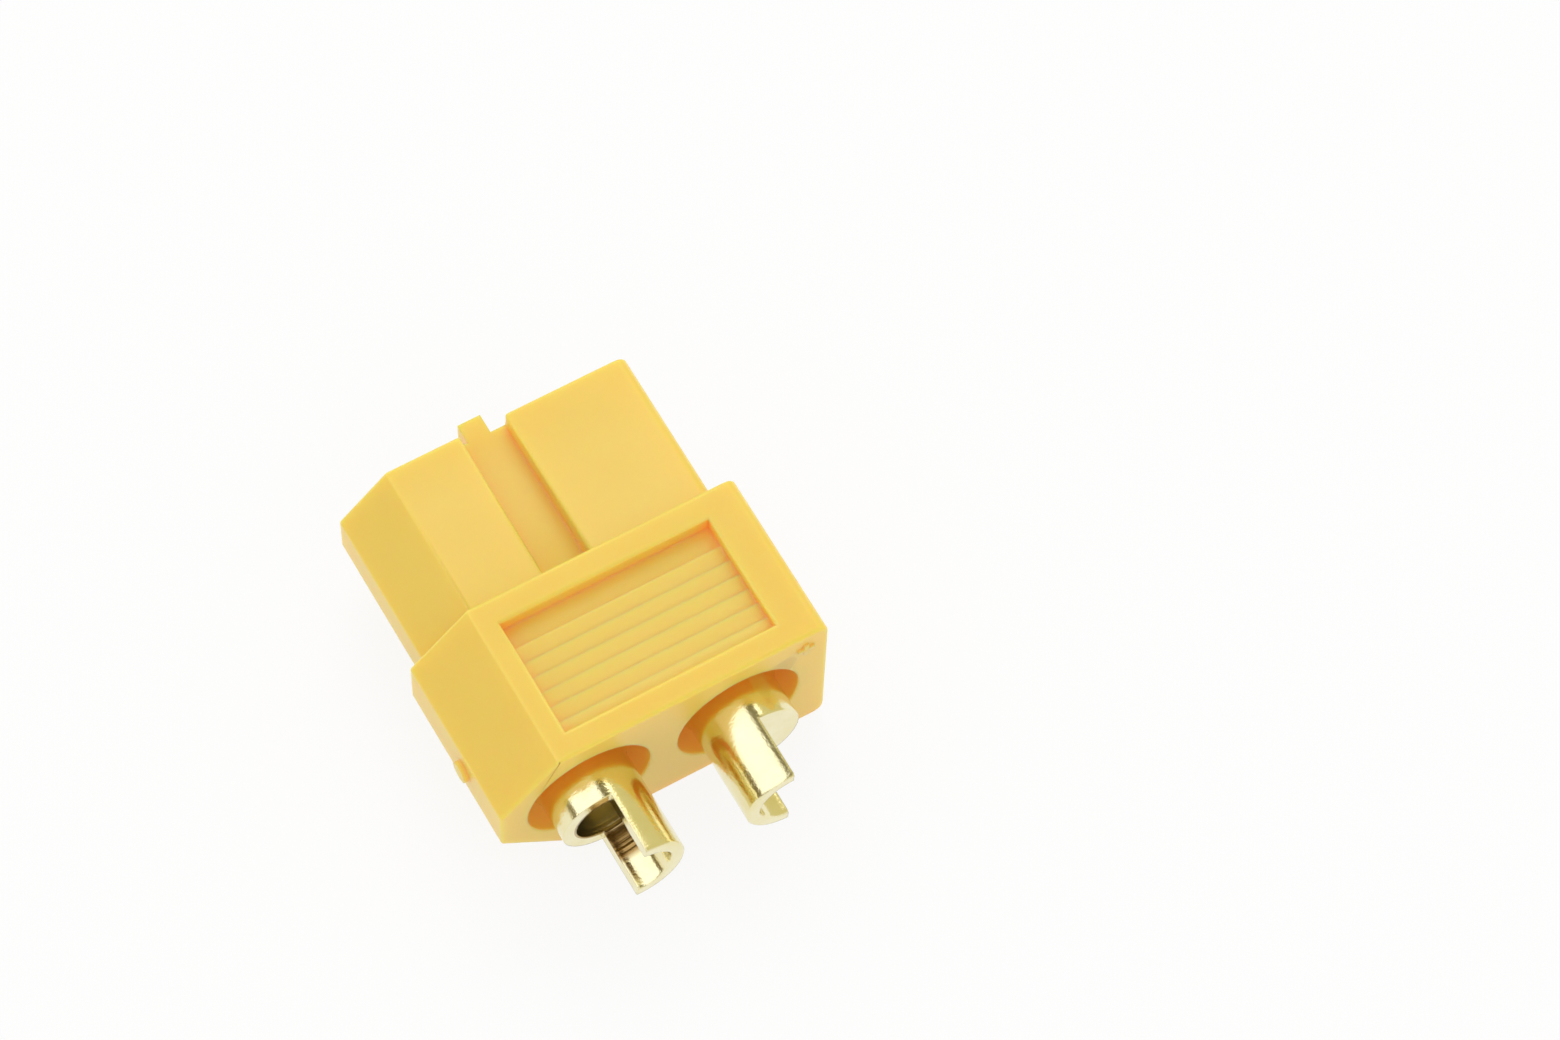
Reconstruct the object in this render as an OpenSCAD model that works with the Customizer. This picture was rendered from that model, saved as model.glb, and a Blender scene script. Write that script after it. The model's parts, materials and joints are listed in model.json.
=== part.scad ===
// Two-pole power connector, socket half: a moulded nylon housing with two
// turned socket contacts pressed in from the rear. X runs across the two
// poles, Y towards the mating end, Z up. The part lies on its broad face, with
// the origin under the middle of its bounding box. The modules measure from
// the rear face and the middle of the poles, and in_frame() moves them there.

/* [Collar] */
// Width of the collar across the two poles
collar_w = 15.7; // [15.4:0.1:18]
// Thickness of the collar between its broad faces
collar_t = 8.1; // [8:0.1:9]
// Length of the collar from the rear face to the step
collar_l = 8.05; // [7:0.05:10]
// Leg of the two polarising chamfers
chamfer = 2.8; // [2.4:0.1:3]
// Distance from the middle of the poles to the chamfered end
end_x = 7.8; // [7.7:0.1:9]
// Radius of the long edges at the square end
square_edge_r = 0.5; // [0.2:0.05:0.9]
// Radius that breaks the long edges of the chamfers
crisp_edge_r = 0.15; // [0.05:0.01:0.2]

/* [Nose] */
// Length of the nose in front of the collar
nose_l = 7.7; // [7:0.1:10]
// Step down from the collar's broad faces to the nose
nose_step = 0.65; // [0.5:0.05:0.8]
// Step in from the collar's chamfered end to the nose
nose_step_chamfered = 0.7; // [0.5:0.05:0.9]
// Step in from the collar's square end to the nose
nose_step_square = 1; // [0.6:0.05:1.1]
// Leg of the nose's chamfers
nose_chamfer = 2.35; // [2:0.05:2.6]
// Width of the key groove along the nose
groove_w = 2.2; // [1.6:0.1:2.4]
// Depth of the key groove
groove_d = 1; // [0.6:0.1:1.2]
// Offset of the key groove from the middle of the poles
groove_x = -0.1; // [-0.4:0.1:0.4]
// Width of the divider rib between the sockets
rib_w = 1.1; // [0.8:0.1:1.3]
// Distance that the divider rib stands out of the nose
rib_l = 0.95; // [0.5:0.05:1.2]
// Offset of the divider rib from the middle of the poles
rib_x = -0.25; // [-0.4:0.05:0.4]

/* [Grip panels] */
// Width of the recessed panel on each broad face
panel_w = 10.05; // [8:0.05:10.5]
// Length of the panel along the collar
panel_l = 5.7; // [4:0.1:5.8]
// Distance from the rear face to the panel
panel_y = 1.15; // [1:0.05:1.2]
// Distance from the middle of the poles to the middle of the panel
panel_x = 0.95; // [0.7:0.05:1.1]
// Depth of the panel at its front wall
panel_d = 0.85; // [0.5:0.05:0.9]
// Length of the smooth band at the panel's front
panel_band = 1.1; // [1:0.1:2]
// Pitch of the panel's ridges
ridge_pitch = 0.79; // [0.6:0.01:1]
// Height of each ridge's front above the floor before it
ridge_h = 0.16; // [0.08:0.02:0.2]
// Climb of the floor from one ridge to the next
ridge_climb = 0.04; // [0:0.01:0.06]

/* [Contacts] */
// Distance between the axes of the two contacts
pitch = 7.2; // [7:0.1:8]
// Bore that takes the mating pin
pin_bore = 3.6; // [3.4:0.05:3.7]
// Depth of the pin bore
pin_depth = 10.5; // [8:0.5:11.5]
// Outside diameter of the socket barrel
barrel_d = 4.6; // [4.4:0.05:4.8]
// Distance from the nose's front face to the mouth of the barrel
mouth_setback = 0.4; // [0.2:0.05:0.8]
// Width of the slots that part the barrel's spring fingers
slot_w = 0.4; // [0.2:0.05:0.6]
// Length of those slots
slot_l = 6; // [4:0.5:8]
// Diameter of the seating flange
flange_d = 5.3; // [5.1:0.1:5.6]
// Thickness of the seating flange
flange_t = 0.5; // [0.3:0.1:0.6]
// Length of the cone from the flange down to the solder cup
flare_l = 1; // [0.5:0.1:1.1]
// Outside diameter of the solder cup
cup_d = 4.2; // [4:0.05:4.6]
// Bore of the solder cup
cup_bore = 2.9; // [2.4:0.1:3.2]
// Depth of the chamfered end's cup, drilled past the end of its window
cup_depth = 6.3; // [6.1:0.1:6.8]
// Distance that the solder cup stands out of the rear face
cup_out = 4.5; // [3.5:0.1:6]
// Length of the whole ring of the cup outside the rear face
cup_ring = 1.5; // [1:0.1:2]
// Leg of the chamfers that break the contacts' turned rims
lip = 0.1; // [0.05:0.01:0.15]
// Turn of the chamfered end's window upwards, in degrees
turn_chamfered = 6; // [-10:1:15]
// Turn of the square end's window upwards, in degrees
turn_square = -3; // [-10:1:15]

/* [Contact seats] */
// Diameter of the pockets round the solder cups
pocket_d = 5.9; // [5.7:0.05:6.1]
// Depth of the pockets below the rear face
pocket_depth = 2; // [1.8:0.1:3]
// Radial clearance round each barrel
barrel_gap = 0.03; // [0.02:0.01:0.06]
// Diameter of the pin openings in the nose's front face
entry_d = 4.2; // [4:0.05:4.3]

/* [Moulding marks] */
// Diameter of the trimmed gate on the chamfered end
gate_d = 1; // [0.6:0.1:1.5]
// Height of the trimmed gate
gate_h = 0.25; // [0.1:0.05:0.4]
// Distance from the rear face to the gate
gate_y = 3.3; // [1:0.1:5]
// Arm length of the plus mark on the rear face
mark_arm = 0.8; // [0.5:0.1:1]
// Distance of the plus mark from the square end and the upper face
mark_inset = 1.1; // [0.9:0.05:1.3]
// Line width of the plus mark
mark_line = 0.24; // [0.15:0.01:0.3]
// Height of the plus mark
mark_h = 0.1; // [0.05:0.01:0.2]

/* [Hidden] */
$fn = 96;
nylon = "#e9c75f";
gold = "#d8ab45";
overrun = 0.5;
corner_steps = 6;
mid_z = collar_t / 2;
square_x = collar_w - end_x;
front_y = collar_l + nose_l;
mouth_y = front_y - mouth_setback;
groove_z = collar_t - nose_step - groove_d;
flange_y = pocket_depth - flange_t;
window_l = cup_out - cup_ring;
ridge_count = ceil((panel_l - panel_band) / ridge_pitch);
mark_x = square_x - mark_inset;
mark_z = collar_t - mark_inset;
middle_x = (square_x - end_x - gate_h) / 2;
middle_y = (front_y + rib_l - cup_out) / 2;

function unit(v) = v / norm(v);

// Arc of radius r that rounds the corner b between the points a and c
function rounded_corner(a, b, c, r) =
    let (
        u = unit(a - b),
        w = unit(c - b),
        half = acos(u * w) / 2,
        centre = b + unit(u + w) * r / sin(half),
        start = b + u * r / tan(half) - centre,
        first = atan2(start[1], start[0]),
        sweep = 180 - 2 * half
    )
    [for (i = [0:corner_steps]) let (at = first + sweep * i / corner_steps) centre + r * [cos(at), sin(at)]];

// Outline with every corner rounded by its own radius, anticlockwise
function rounded_outline(points, radii) =
    let (n = len(points))
    [for (k = [0:n - 1]) each rounded_corner(points[(k + n - 1) % n], points[k], points[(k + 1) % n], radii[k])];

// Polarised outline: two chamfers at the low end, a square high end
function polarised(x0, x1, z0, z1, leg) =
    rounded_outline(
        [[x0, z0 + leg], [x0 + leg, z0], [x1, z0], [x1, z1], [x0 + leg, z1], [x0, z1 - leg]],
        [crisp_edge_r, crisp_edge_r, square_edge_r, square_edge_r, crisp_edge_r, crisp_edge_r]
    );

// Moves the part so that the middle of its bounding box is over the origin
module in_frame() {
    translate([-middle_x, -middle_y, 0]) children();
}

// Extrudes an outline drawn in X and Z from y0 to y1
module along_y(y0, y1) {
    translate([0, y1, 0]) rotate([90, 0, 0]) linear_extrude(y1 - y0) children();
}

// Round bar or cone along Y on a pole's axis
module rod(y0, y1, d0, d1) {
    translate([0, y0, 0]) rotate([-90, 0, 0]) cylinder(h = y1 - y0, d1 = d0, d2 = d1);
}

// Puts its children on the axis of one pole, -1 or 1
module at_pole(side) {
    translate([side * pitch / 2, 0, mid_z]) children();
}

// Recess in the upper broad face, with a floor that climbs to the rear in
// ridges, each steep in front and sloping down behind
module grip_recess() {
    first_y = panel_l - panel_band;
    ridges = [
        for (k = [0:ridge_count - 1]) let (y = first_y - k * ridge_pitch, z = k * ridge_climb)
            each [[y, z], [y, z + ridge_h]]
    ];
    last = [first_y - ridge_count * ridge_pitch, ridge_count * ridge_climb];
    translate([panel_x - panel_w / 2, panel_y, collar_t - panel_d]) difference() {
        cube([panel_w, panel_l, panel_d + overrun]);
        translate([-overrun, 0, 0]) rotate([90, 0, 90]) linear_extrude(panel_w + 2 * overrun)
            polygon(concat([[first_y, -overrun]], ridges, [last, [last[0], -overrun]]));
    }
}

module plus_mark() {
    translate([mark_x, 0, mark_z]) {
        translate([-mark_arm / 2, -mark_h, -mark_line / 2]) cube([mark_arm, mark_h + overrun, mark_line]);
        translate([-mark_line / 2, -mark_h, -mark_arm / 2]) cube([mark_line, mark_h + overrun, mark_arm]);
    }
}

// Space for one contact: pocket, barrel seat and pin opening
module contact_seat() {
    rod(-overrun, pocket_depth, pocket_d, pocket_d);
    rod(pocket_depth - overrun, mouth_y, barrel_d + 2 * barrel_gap, barrel_d + 2 * barrel_gap);
    rod(mouth_y - overrun, front_y + overrun, entry_d, entry_d);
}

module housing() {
    rib_low_z = nose_step + groove_d;
    color(nylon) in_frame() difference() {
        union() {
            along_y(0, collar_l)
                polygon(polarised(-end_x, square_x, 0, collar_t, chamfer));
            along_y(collar_l - overrun, front_y)
                polygon(polarised(
                    -end_x + nose_step_chamfered, square_x - nose_step_square,
                    nose_step, collar_t - nose_step, nose_chamfer));
            translate([rib_x - rib_w / 2, front_y - overrun, rib_low_z])
                cube([rib_w, rib_l + overrun, groove_z - rib_low_z]);
            translate([-end_x - gate_h, gate_y, mid_z])
                rotate([0, 90, 0]) cylinder(h = gate_h + overrun, d = gate_d);
            plus_mark();
        }
        translate([groove_x - groove_w / 2, collar_l, groove_z])
            cube([groove_w, nose_l + rib_l + overrun, groove_d + overrun]);
        grip_recess();
        translate([0, 0, collar_t]) mirror([0, 0, 1]) grip_recess();
        for (side = [-1, 1]) at_pole(side) contact_seat();
    }
}

// Sloping break of leg lip round the mouth of a bore of diameter d, which
// opens at y towards +Y for way 1 and towards -Y for way -1
module broken_mouth(y, way, d) {
    out = y + way * overrun;
    wide = d + 2 * (lip + overrun);
    if (way > 0) rod(y - lip, out, d, wide);
    else rod(out, y + lip, wide, d);
}

// One turned contact on its own axis, with its cup drilled cup_l deep and the
// cup's window facing the way that a turn of window_angle about Y takes +X
module contact(window_angle, cup_l) {
    color(gold) difference() {
        union() {
            rod(pocket_depth, mouth_y, barrel_d, barrel_d);
            rod(flange_y, pocket_depth, flange_d, flange_d);
            rod(flange_y - flare_l, flange_y, cup_d, flange_d);
            rod(lip - cup_out, flange_y - flare_l, cup_d, cup_d);
            rod(-cup_out, lip - cup_out, cup_d - 2 * lip, cup_d);
        }
        rod(mouth_y - pin_depth, mouth_y + overrun, pin_bore, pin_bore);
        broken_mouth(mouth_y, 1, pin_bore);
        for (turn = [45, 135])
            rotate([0, turn, 0]) translate([-barrel_d, mouth_y - slot_l, -slot_w / 2])
                cube([2 * barrel_d, slot_l + overrun, slot_w]);
        rod(-cup_out - overrun, cup_l - cup_out, cup_bore, cup_bore);
        broken_mouth(-cup_out, -1, cup_bore);
        rotate([0, window_angle, 0]) translate([0, -cup_out - overrun, -cup_d])
            cube([cup_d, window_l + overrun, 2 * cup_d]);
    }
}

module chamfered_end_contact() {
    in_frame() at_pole(-1) contact(180 + turn_chamfered, cup_depth);
}

module square_end_contact() {
    in_frame() at_pole(1) contact(-turn_square, window_l);
}

housing();
chamfered_end_contact();
square_end_contact();
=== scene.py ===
import json
import math

import bmesh
import bpy
import numpy as np
from mathutils import Matrix, Vector


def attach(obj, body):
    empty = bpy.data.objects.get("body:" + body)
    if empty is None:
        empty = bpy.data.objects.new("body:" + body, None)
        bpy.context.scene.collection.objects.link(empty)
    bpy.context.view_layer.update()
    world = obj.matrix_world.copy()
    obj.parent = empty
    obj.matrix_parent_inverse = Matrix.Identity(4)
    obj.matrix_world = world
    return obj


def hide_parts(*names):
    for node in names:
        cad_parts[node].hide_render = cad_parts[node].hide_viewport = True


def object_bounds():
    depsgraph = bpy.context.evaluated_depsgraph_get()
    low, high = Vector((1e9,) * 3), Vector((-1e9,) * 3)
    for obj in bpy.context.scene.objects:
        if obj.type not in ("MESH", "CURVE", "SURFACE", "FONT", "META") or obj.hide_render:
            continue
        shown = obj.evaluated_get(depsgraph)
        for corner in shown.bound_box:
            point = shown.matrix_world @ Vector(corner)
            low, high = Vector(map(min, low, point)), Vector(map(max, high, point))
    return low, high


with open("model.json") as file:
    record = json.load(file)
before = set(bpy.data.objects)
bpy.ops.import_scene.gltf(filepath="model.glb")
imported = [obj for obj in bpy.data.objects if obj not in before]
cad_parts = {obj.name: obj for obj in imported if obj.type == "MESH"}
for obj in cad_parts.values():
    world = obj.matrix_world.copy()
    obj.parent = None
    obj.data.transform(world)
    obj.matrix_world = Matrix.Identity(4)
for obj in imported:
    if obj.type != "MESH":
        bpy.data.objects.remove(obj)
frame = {"nodes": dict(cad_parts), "record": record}
cad_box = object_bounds()

# Camera
# A long lens looks down at 63 degrees on the wire side of the socket, from
# beyond its chamfered end, as one photographs a small part on a table.
camera_place = (-0.048522, -0.090620, 0.217156)
camera_heading, camera_dip, camera_roll = np.radians([32.48, 63.01, 2.90])

forward = np.array([math.sin(camera_heading) * math.cos(camera_dip),
                    math.cos(camera_heading) * math.cos(camera_dip), -math.sin(camera_dip)])
level = np.array([math.cos(camera_heading), -math.sin(camera_heading), 0.0])
upright = np.cross(level, forward)
camera_x = math.cos(camera_roll) * level + math.sin(camera_roll) * upright
camera_y = math.cos(camera_roll) * upright - math.sin(camera_roll) * level
camera_turn = Matrix(np.column_stack([camera_x, camera_y, -forward]).tolist()).to_4x4()

camera = bpy.data.objects.new("camera", bpy.data.cameras.new("camera"))
bpy.context.scene.collection.objects.link(camera)
camera.data.sensor_width = 36
camera.data.lens = 128.08
camera.data.clip_start = 0.01
camera.matrix_world = Matrix.Translation(camera_place) @ camera_turn
bpy.context.scene.camera = camera
bpy.context.scene.view_settings.view_transform = "Standard"


# Housing
# One injection moulding in yellow nylon, into which both contacts are pressed.
# The mould leaves satin faces with a fine grain, and rims that are a little round.
mounts = {mount["name"]: mount for mount in frame["record"]["mounts"]}
chamfered_pole_x, _, axis_height = mounts["chamfered_end_socket"]["pos_m"]
square_pole_x = mounts["square_end_socket"]["pos_m"][0]
poles_middle = (chamfered_pole_x + square_pole_x) / 2
half_pitch = (square_pole_x - chamfered_pole_x) / 2

cup_out, collar_length = 0.0045, 0.00805
cup_tip = cad_box[0][1]
rear_face = cup_tip + cup_out
collar_front = rear_face + collar_length
nose_front = mounts["nose"]["pos_m"][1]
nose_step = 0.00065
rib_x, rib_top = -0.00015, 0.0066
beside_rib_reach = 0.0013
pocket_surround = 0.0031
rim_leg = 0.00012
on_face = 0.00001


def from_hex(code):
    """sRGB hex to linear light, with full alpha."""
    parts = [int(code[k:k + 2], 16) / 255 for k in (1, 3, 5)]
    return tuple(c / 12.92 if c <= 0.04045 else ((c + 0.055) / 1.055) ** 2.4 for c in parts) + (1.0,)


def add_node(tree, kind, inputs=None, **settings):
    """Adds a node; inputs gives each of its sockets a value or a link."""
    node = tree.nodes.new(kind)
    for name, value in settings.items():
        setattr(node, name, value)
    for name, value in (inputs or {}).items():
        if isinstance(value, bpy.types.NodeSocket):
            tree.links.new(value, node.inputs[name])
        else:
            node.inputs[name].default_value = value
    return node


def new_material(name):
    """An empty node material with its Principled shader and its tree."""
    material = bpy.data.materials.new(name)
    material.use_nodes = True
    return material, material.node_tree, material.node_tree.nodes["Principled BSDF"]


# moulded nylon is satin and a little waxy: light goes under its skin and comes out warmer
# the deep orange is painted shade for sheltered places, and also the colour of their painted glow
nylon_skin, nylon_cloud, painted_recess_orange = from_hex("#F3D564"), from_hex("#F0CD5A"), from_hex("#FCAA4C")
nylon, tree, shader = new_material("moulded_nylon_yellow")
place = add_node(tree, "ShaderNodeTexCoord").outputs["Object"]
# it takes up its pigment a little unevenly, in clouds about 4 mm wide
clouds = add_node(tree, "ShaderNodeTexNoise", {"Vector": place, "Scale": 1 / 0.004, "Detail": 3.0})
skin = add_node(tree, "ShaderNodeMix", {"Factor": clouds.outputs["Fac"], 6: nylon_skin, 7: nylon_cloud},
                data_type="RGBA")
# painted shade: the more sheltered a place is, in pockets, grooves, by the contacts and at the foot by the
# table, the more its colour is painted a deeper orange
shelter = add_node(tree, "ShaderNodeAmbientOcclusion", {"Distance": 0.0012}, samples=6)
painted_shade_amount = add_node(tree, "ShaderNodeMapRange",
                 {"Value": shelter.outputs["AO"], "From Min": 0.1, "From Max": 0.7,
                  "To Min": 1.0, "To Max": 0.0})
painted_shade_tint = add_node(tree, "ShaderNodeMix",
                {"Factor": painted_shade_amount.outputs["Result"], 6: skin.outputs[2], 7: painted_recess_orange}, data_type="RGBA")
tree.links.new(painted_shade_tint.outputs[2], shader.inputs["Base Color"])
# and a painted glow in the same orange lights them from within, though the nylon is no lamp
painted_glow = add_node(tree, "ShaderNodeMath", {0: painted_shade_amount.outputs["Result"], 1: 0.16}, operation="MULTIPLY")
tree.links.new(painted_glow.outputs[0], shader.inputs["Emission Strength"])
shader.inputs["Emission Color"].default_value = painted_recess_orange
# the spark-eroded mould's grain is about 0.05 mm; 0.12 mm shows in the render
grain = add_node(tree, "ShaderNodeTexNoise", {"Vector": place, "Scale": 1 / 0.00012, "Detail": 2.0})
rim = add_node(tree, "ShaderNodeBevel", {"Radius": 0.0002}, samples=8)
relief = add_node(tree, "ShaderNodeBump",
                  {"Height": grain.outputs["Fac"], "Strength": 0.2, "Distance": 0.00001,
                   "Normal": rim.outputs["Normal"]})
tree.links.new(relief.outputs["Normal"], shader.inputs["Normal"])
shader.inputs["Roughness"].default_value = 0.34
shader.inputs["IOR"].default_value = 1.53
shader.inputs["Subsurface Weight"].default_value = 0.9
shader.inputs["Subsurface Radius"].default_value = (1.0, 0.6, 0.2)
shader.inputs["Subsurface Scale"].default_value = 0.0012

# a merged copy of the CAD node stands for it, with some of its sharp edges rounded
form = bmesh.new()
form.from_mesh(frame["nodes"]["housing"].data)
bmesh.ops.remove_doubles(form, verts=form.verts, dist=0.000002)
bmesh.ops.dissolve_limit(form, angle_limit=math.radians(0.6), verts=form.verts, edges=form.edges)
weight = form.edges.layers.float.new("bevel_weight_edge")
sharp = [edge for edge in form.edges if edge.calc_face_angle(0.0) > math.radians(35)]
x, y, z = np.array([(edge.verts[0].co + edge.verts[1].co) / 2 for edge in sharp]).T
lean = np.abs([[face.normal.y for face in edge.link_faces] for edge in sharp])
convex = np.array([edge.is_convex for edge in sharp])

# rounded are the outline's rims at the three end faces, away from the pockets and openings,
to_end_face = np.abs(y[:, None] - np.array([rear_face, collar_front, nose_front])).min(axis=1)
to_pole = np.hypot(np.abs(x - poles_middle) - half_pitch, z - axis_height)
end_rim = (lean.max(axis=1) > 0.9) & (lean.min(axis=1) < 0.1)
end_rim &= (to_end_face < on_face) & (to_pole > pocket_surround)
# and the rims of the collar's and the nose's broad faces, so of the panels and the groove
height = np.abs(z - axis_height)
collar_rim = np.abs(height - axis_height) < on_face
nose_rim = (np.abs(height - (axis_height - nose_step)) < on_face) & (y > collar_front + on_face)
# the rib's foot on the nose stays sharp
beside_rib = (y > nose_front - 0.00005) & (np.abs(x - rib_x) < beside_rib_reach) & (z < rib_top)
eased = convex & (end_rim | collar_rim | nose_rim) & ~beside_rib
for edge, taken in zip(sharp, eased):
    edge[weight] = float(taken)

mesh = bpy.data.meshes.new("moulded_housing")
form.to_mesh(mesh)
form.free()
# faces over 2.5 mm2 are true planes; the small ones are strips of a round wall
areas = np.empty(len(mesh.polygons))
mesh.polygons.foreach_get("area", areas)
mesh.polygons.foreach_set("use_smooth", areas < 2.5e-6)
mesh.set_sharp_from_angle(angle=math.radians(25))
housing = bpy.data.objects.new("moulded_housing", mesh)
bpy.context.scene.collection.objects.link(housing)
easing = housing.modifiers.new("eased_edges", "BEVEL")
easing.limit_method, easing.width = "WEIGHT", rim_leg
easing.segments, easing.use_clamp_overlap = 3, False
housing.modifiers.new("flat_faces_stay_flat", "WEIGHTED_NORMAL").keep_sharp = True
housing.data.materials.append(nylon)
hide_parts("housing")
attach(housing, "root")


# Contacts
# Two sockets turned from brass bar and plated with thin gold: a slit barrel
# for the mating pin in front, and a cup for the soldered wire behind.
cup_bore_radius = 0.00145
window_length, plain_tip = 0.0030, 0.0013
window_end = cup_tip + window_length
rings_start = cup_tip + plain_tip

# gold over turned brass mirrors what is round it, a little worn in patches of 1.2 mm
gold, tree, shader = new_material("gold_plated_brass")
place = add_node(tree, "ShaderNodeTexCoord").outputs["Object"]
wear = add_node(tree, "ShaderNodeTexNoise", {"Vector": place, "Scale": 1 / 0.0012, "Detail": 4.0})
tone = add_node(tree, "ShaderNodeMix",
                {"Factor": wear.outputs["Fac"], 6: from_hex("#E9DCA2"), 7: from_hex("#F6F1CE")},
                data_type="RGBA")
# distance from the axis of the nearer contact
at = add_node(tree, "ShaderNodeSeparateXYZ", {0: place})
aside = add_node(tree, "ShaderNodeMath", {0: at.outputs["X"], 1: poles_middle}, operation="SUBTRACT")
aside = add_node(tree, "ShaderNodeMath", {0: aside.outputs[0]}, operation="ABSOLUTE")
aside = add_node(tree, "ShaderNodeMath", {0: aside.outputs[0], 1: half_pitch}, operation="SUBTRACT")
above = add_node(tree, "ShaderNodeMath", {0: at.outputs["Z"], 1: axis_height}, operation="SUBTRACT")
across = add_node(tree, "ShaderNodeCombineXYZ", {"X": aside.outputs[0], "Y": above.outputs[0]})
radius = add_node(tree, "ShaderNodeVectorMath", {0: across.outputs[0]}, operation="LENGTH")
in_cup = add_node(tree, "ShaderNodeMath", {0: radius.outputs["Value"], 1: cup_bore_radius, 2: 0.0001},
                  operation="COMPARE")
# the drill leaves rings 0.25 mm apart in the cup, but none on the plain stretch at its tip
past_tip = add_node(tree, "ShaderNodeMapRange",
                    {"Value": at.outputs["Y"], "From Min": rings_start, "From Max": rings_start + 0.0003})
drilled = add_node(tree, "ShaderNodeMath", {0: in_cup.outputs[0], 1: past_tip.outputs["Result"]},
                   operation="MULTIPLY")
# the square end's bore stops in a flat shoulder at the window's end, which stays bright
open_part = add_node(tree, "ShaderNodeMath", {0: at.outputs["Y"], 1: window_end - 0.00005},
                     operation="LESS_THAN")
chamfered_side = add_node(tree, "ShaderNodeMath", {0: at.outputs["X"], 1: 0.0}, operation="LESS_THAN")
on_wall = add_node(tree, "ShaderNodeMath", {0: open_part.outputs[0], 1: chamfered_side.outputs[0]},
                   operation="MAXIMUM")
drilled = add_node(tree, "ShaderNodeMath", {0: drilled.outputs[0], 1: on_wall.outputs[0]},
                   operation="MULTIPLY")
# the drilled wall is dull where the window opens it, and shines again deeper in
in_window = add_node(tree, "ShaderNodeMapRange",
                     {"Value": at.outputs["Y"], "From Min": window_end - 0.0002,
                      "From Max": window_end + 0.0004, "To Min": 1.0, "To Max": 0.15})
dull = add_node(tree, "ShaderNodeMath", {0: drilled.outputs[0], 1: in_window.outputs["Result"]},
                operation="MULTIPLY")
tone = add_node(tree, "ShaderNodeMix",
                {"Factor": dull.outputs[0], 6: tone.outputs[2], 7: from_hex("#A98B58")}, data_type="RGBA")
tree.links.new(tone.outputs[2], shader.inputs["Base Color"])
along = add_node(tree, "ShaderNodeCombineXYZ", {"Y": at.outputs["Y"]})
rings = add_node(tree, "ShaderNodeTexNoise",
                 {"Vector": along.outputs[0], "Scale": 1 / 0.00025, "Detail": 3.0})
ring_height = add_node(tree, "ShaderNodeMath", {0: rings.outputs["Fac"], 1: drilled.outputs[0]},
                       operation="MULTIPLY")
# the plating's peel is finer than this 0.12 mm, which shows in the render
peel = add_node(tree, "ShaderNodeTexNoise", {"Vector": place, "Scale": 1 / 0.00012, "Detail": 3.0})
lip = add_node(tree, "ShaderNodeBevel", {"Radius": 0.00016}, samples=8)
plating = add_node(tree, "ShaderNodeBump",
                   {"Height": peel.outputs["Fac"], "Strength": 0.5, "Distance": 0.000012,
                    "Normal": lip.outputs["Normal"]})
marks = add_node(tree, "ShaderNodeBump",
                 {"Height": ring_height.outputs[0], "Strength": 1.0, "Distance": 0.00008,
                  "Normal": plating.outputs["Normal"]})
tree.links.new(marks.outputs["Normal"], shader.inputs["Normal"])
sheen = add_node(tree, "ShaderNodeMapRange", {"Value": wear.outputs["Fac"], "To Min": 0.08, "To Max": 0.18})
sheen = add_node(tree, "ShaderNodeMix",
                 {"Factor": drilled.outputs[0], 2: sheen.outputs["Result"], 3: 0.22})
tree.links.new(sheen.outputs[0], shader.inputs["Roughness"])
shader.inputs["Metallic"].default_value = 1.0

for name in ("chamfered_end_contact", "square_end_contact"):
    for slot in frame["nodes"][name].material_slots:
        slot.material = gold


# Table and backdrop
# A white table top runs out to a white surround; both are plain and matt.
# Camera and mirror rays see most of it as pure white, the rest keeps the shadow.
table_reach = 1.2
white_share = 0.86
mesh = bpy.data.meshes.new("table")
corners = np.array([[-1, -1, 0], [1, -1, 0], [1, 1, 0], [-1, 1, 0]]) * table_reach
mesh.from_pydata(corners.tolist(), [], [(0, 1, 2, 3)])
table = bpy.data.objects.new("table", mesh)
bpy.context.scene.collection.objects.link(table)
paper, tree, shader = new_material("white_paper")
shader.inputs["Base Color"].default_value = from_hex("#F7F6F4")
shader.inputs["Roughness"].default_value = 0.9
path = add_node(tree, "ShaderNodeLightPath")
glow = add_node(tree, "ShaderNodeEmission", {"Color": from_hex("#FFFFFF"), "Strength": 1.0})
seen = add_node(tree, "ShaderNodeMath", {0: path.outputs["Is Camera Ray"], 1: path.outputs["Is Glossy Ray"]},
                operation="MAXIMUM")
share = add_node(tree, "ShaderNodeMath", {0: seen.outputs[0], 1: white_share}, operation="MULTIPLY")
lit = add_node(tree, "ShaderNodeMixShader", {0: share.outputs[0], 1: shader.outputs[0], 2: glow.outputs[0]})
tree.links.new(lit.outputs[0], tree.nodes["Material Output"].inputs["Surface"])
table.data.materials.append(paper)


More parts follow.
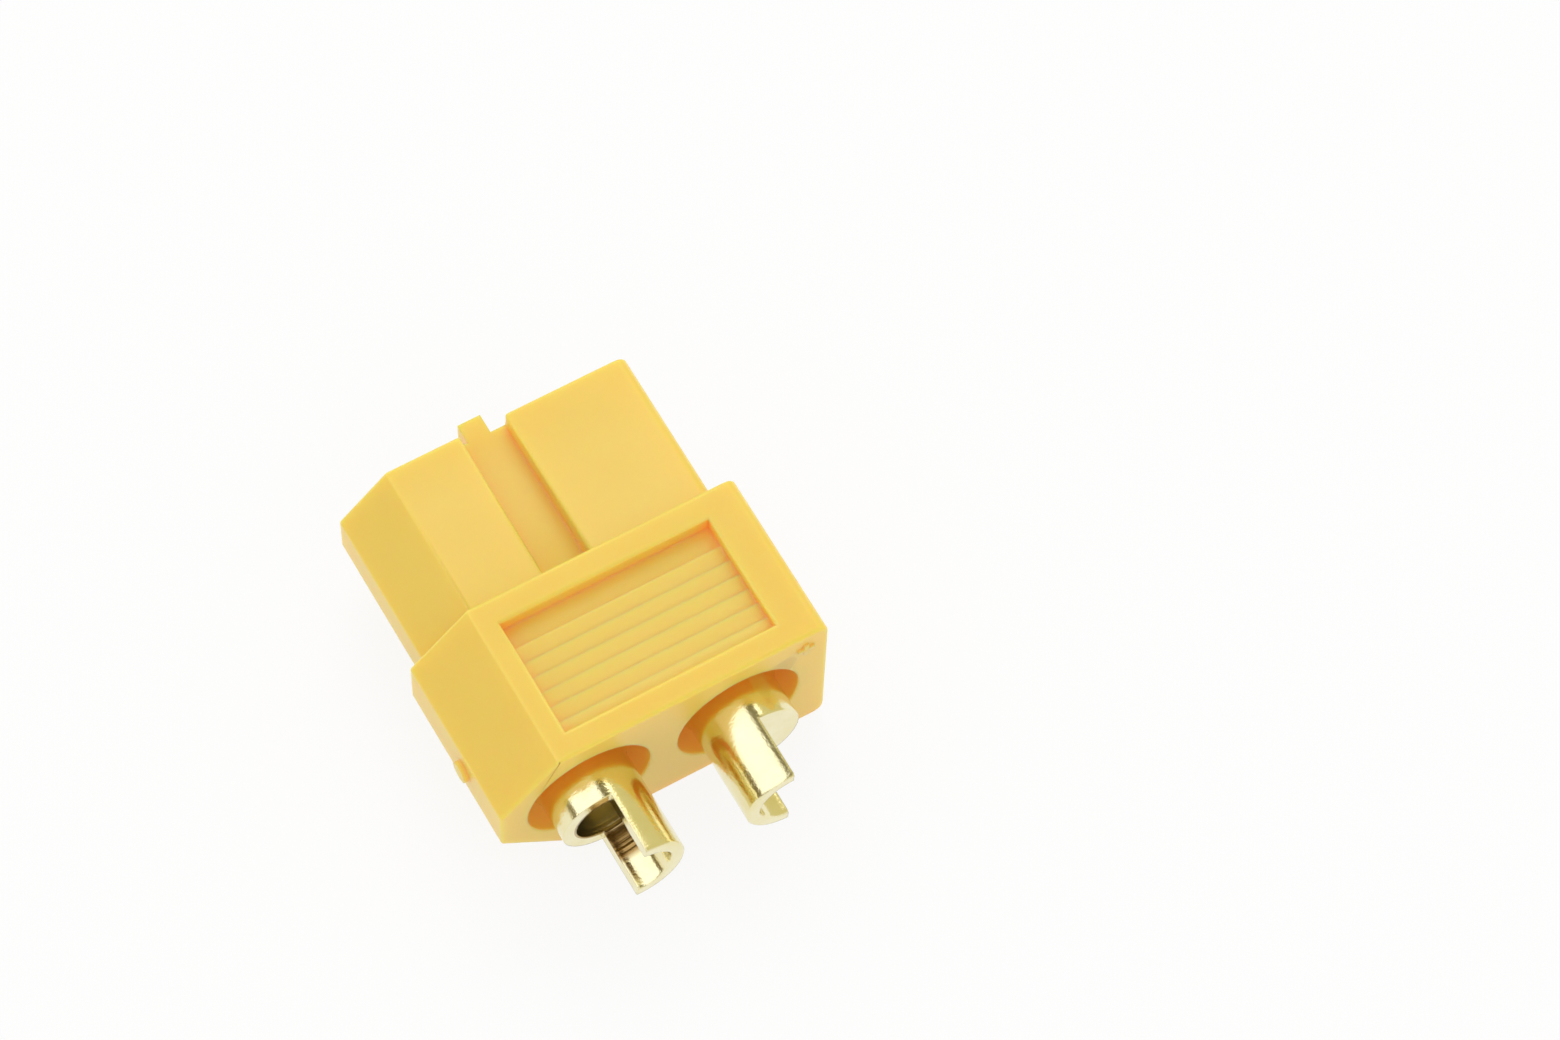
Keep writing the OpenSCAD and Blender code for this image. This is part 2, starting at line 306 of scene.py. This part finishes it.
# Light
# A pale tent lit from outside: a broad bright sheet over the chamfered end, a
# dim wall at the square end, the dark gap between them overhead, and one soft
# lamp behind. The numbers are levels of light, and so are linear.
dim_wall, dark_gap, bright_sheet = (0.48, 0.44, 0.24), (0.15, 0.13, 0.07), (0.95, 0.95, 0.95)
low_gap, pale_foot, mean_of_tent = (0.15, 0.12, 0.06), (0.60, 0.56, 0.45), (0.59, 0.59, 0.59)
bands = ((0.0, dim_wall), (0.36, dim_wall), (0.375, dark_gap), (0.465, dark_gap), (0.48, bright_sheet),
         (0.88, bright_sheet), (0.89, low_gap), (0.955, low_gap), (0.97, pale_foot), (1.0, pale_foot))

world = bpy.data.worlds.new("light_tent")
bpy.context.scene.world = world
world.use_nodes = True
tree = world.node_tree
tent = tree.nodes["Background"]
heading = add_node(tree, "ShaderNodeSeparateXYZ",
                   {0: add_node(tree, "ShaderNodeTexCoord").outputs["Generated"]})
# the angle round the Y axis, from the square end's horizon over the top
round_y = add_node(tree, "ShaderNodeMath", {0: heading.outputs["Z"], 1: heading.outputs["X"]},
                   operation="ARCTAN2")
share = add_node(tree, "ShaderNodeMapRange",
                 {"Value": round_y.outputs[0], "From Min": 0.0, "From Max": math.pi})
sheets = add_node(tree, "ShaderNodeValToRGB", {"Fac": share.outputs["Result"]})
while len(sheets.color_ramp.elements) < len(bands):
    sheets.color_ramp.elements.new(1.0)
for element, (position, level_of_light) in zip(sheets.color_ramp.elements, bands):
    element.position, element.color = position, level_of_light + (1.0,)
# metal mirrors the sheets one by one, while matt surfaces see their mean, and the camera plain white
path = add_node(tree, "ShaderNodeLightPath")
tent_light = add_node(tree, "ShaderNodeMix",
                      {"Factor": path.outputs["Is Glossy Ray"], 6: mean_of_tent + (1.0,),
                       7: sheets.outputs["Color"]}, data_type="RGBA")
tree.links.new(tent_light.outputs[2], tent.inputs["Color"])
tent.inputs["Strength"].default_value = 1.5
backdrop = add_node(tree, "ShaderNodeBackground", {"Color": from_hex("#FFFFFF"), "Strength": 1.0})
seen = add_node(tree, "ShaderNodeMixShader",
                {0: path.outputs["Is Camera Ray"], 1: tent.outputs[0], 2: backdrop.outputs[0]})
tree.links.new(seen.outputs[0], tree.nodes["World Output"].inputs["Surface"])

lamp_place = Vector((0.25, 0.45, 0.50))
lamp = bpy.data.objects.new("rear_softbox", bpy.data.lights.new("rear_softbox", "AREA"))
bpy.context.scene.collection.objects.link(lamp)
lamp.data.shape, lamp.data.size, lamp.data.energy = "SQUARE", 0.4, 0.8
lamp.location = lamp_place
lamp.rotation_euler = (-lamp_place).to_track_quat("-Z", "Y").to_euler()
